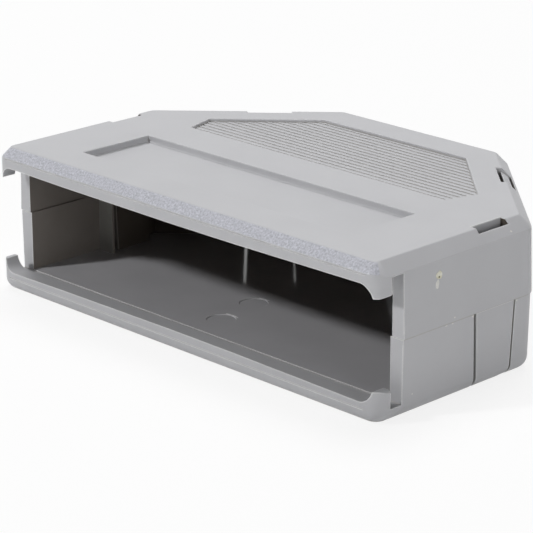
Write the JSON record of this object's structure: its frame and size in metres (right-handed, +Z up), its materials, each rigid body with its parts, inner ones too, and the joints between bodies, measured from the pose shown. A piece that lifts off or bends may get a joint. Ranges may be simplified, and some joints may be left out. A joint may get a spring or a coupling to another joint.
{
  "type": "centronics connector hood",
  "caption": "Two-piece snap-together plastic hood with a wide rectangular mouth for a ribbon-type connector, slanted rear corners, a label recess, a ribbed grip panel and a round cable exit.",
  "frame": {"origin": "middle of the bottom of the closed hood", "axes": "+X along the mouth, +Y from the mouth to the cable exit, +Z up from the lower shell to the upper shell"},
  "size_m": [0.07, 0.0464, 0.0198],
  "materials": {
    "shell_plastic": "satin moulded"
  },
  "bodies": {
    "root": {"upper_shell": "shell_plastic", "lower_shell": "shell_plastic"}
  },
  "joints": []
}
